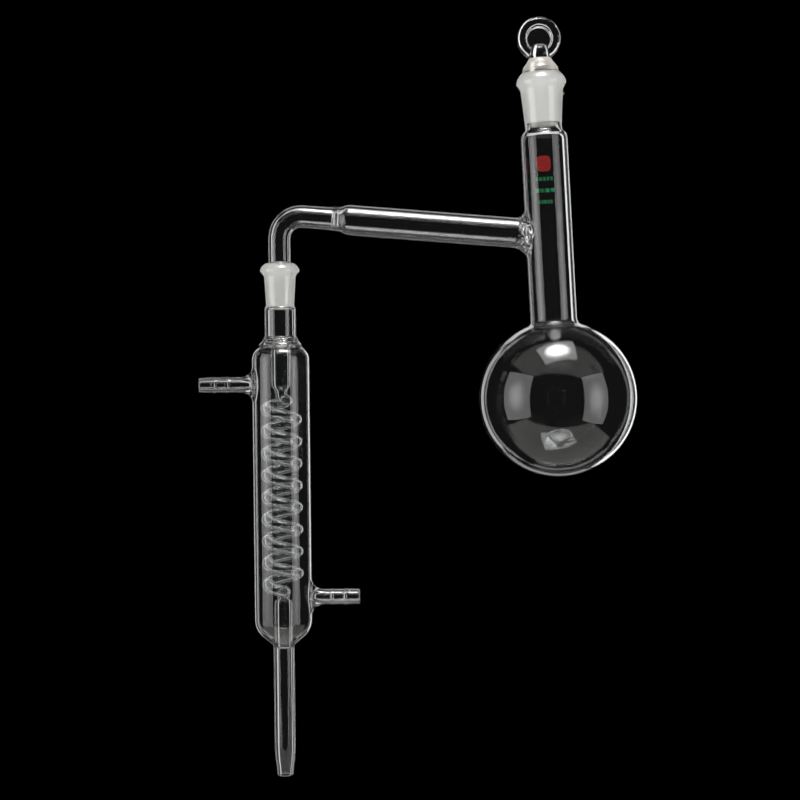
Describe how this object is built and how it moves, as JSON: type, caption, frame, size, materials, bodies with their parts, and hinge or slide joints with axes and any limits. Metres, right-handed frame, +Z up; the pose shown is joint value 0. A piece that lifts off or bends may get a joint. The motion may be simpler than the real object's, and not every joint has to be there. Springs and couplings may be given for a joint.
{
  "type": "distilling flask with coil condenser",
  "caption": "Round-bottom distilling flask with a long neck, a ground stopper and a side arm that carries a jacketed coil condenser with two hose connectors.",
  "frame": {"origin": "on the condenser's axis at the lower end of its drip tip", "axes": "+Z up the condenser's axis; +X towards the flask; every axis of the set lies in the XZ plane, and -Y is the front"},
  "size_m": [0.2362, 0.085, 0.4084],
  "materials": {
    "clear_glass": "clear borosilicate, fire-polished",
    "ground_glass": "ground matt white",
    "red_enamel": "fired enamel",
    "green_enamel": "fired enamel"
  },
  "bodies": {
    "flask": {"neck_socket": "ground_glass", "neck_tube": "clear_glass", "bulb": "clear_glass", "side_arm_root": "clear_glass", "side_arm_tube": "clear_glass", "elbow_weld": "clear_glass", "elbow_tube": "clear_glass", "arm_cone": "ground_glass", "enamel_badge": "red_enamel", "enamel_bars": "green_enamel"},
    "condenser": {"condenser_socket": "ground_glass", "top_tube": "clear_glass", "upper_ring_seal": "clear_glass", "jacket": "clear_glass", "vapour_tube": "clear_glass", "coil": "clear_glass", "drain_tube": "clear_glass", "lower_ring_seal": "clear_glass", "drip_tube": "clear_glass", "outlet_connector": "clear_glass", "inlet_connector": "clear_glass"},
    "stopper": {"stopper_plug": "ground_glass", "stopper_head": "clear_glass"}
  },
  "joints": [
    {"name": "stopper_lift", "type": "slide", "parent": "flask", "child": "stopper", "axis": [-0.0461, 0, 0.9989], "range_m": [0, 0.045]},
    {"name": "condenser_swivel", "type": "hinge", "parent": "flask", "child": "condenser", "pos_m": [0, 0, 0.2652], "axis": [0, 0, 1], "continuous": true}
  ]
}
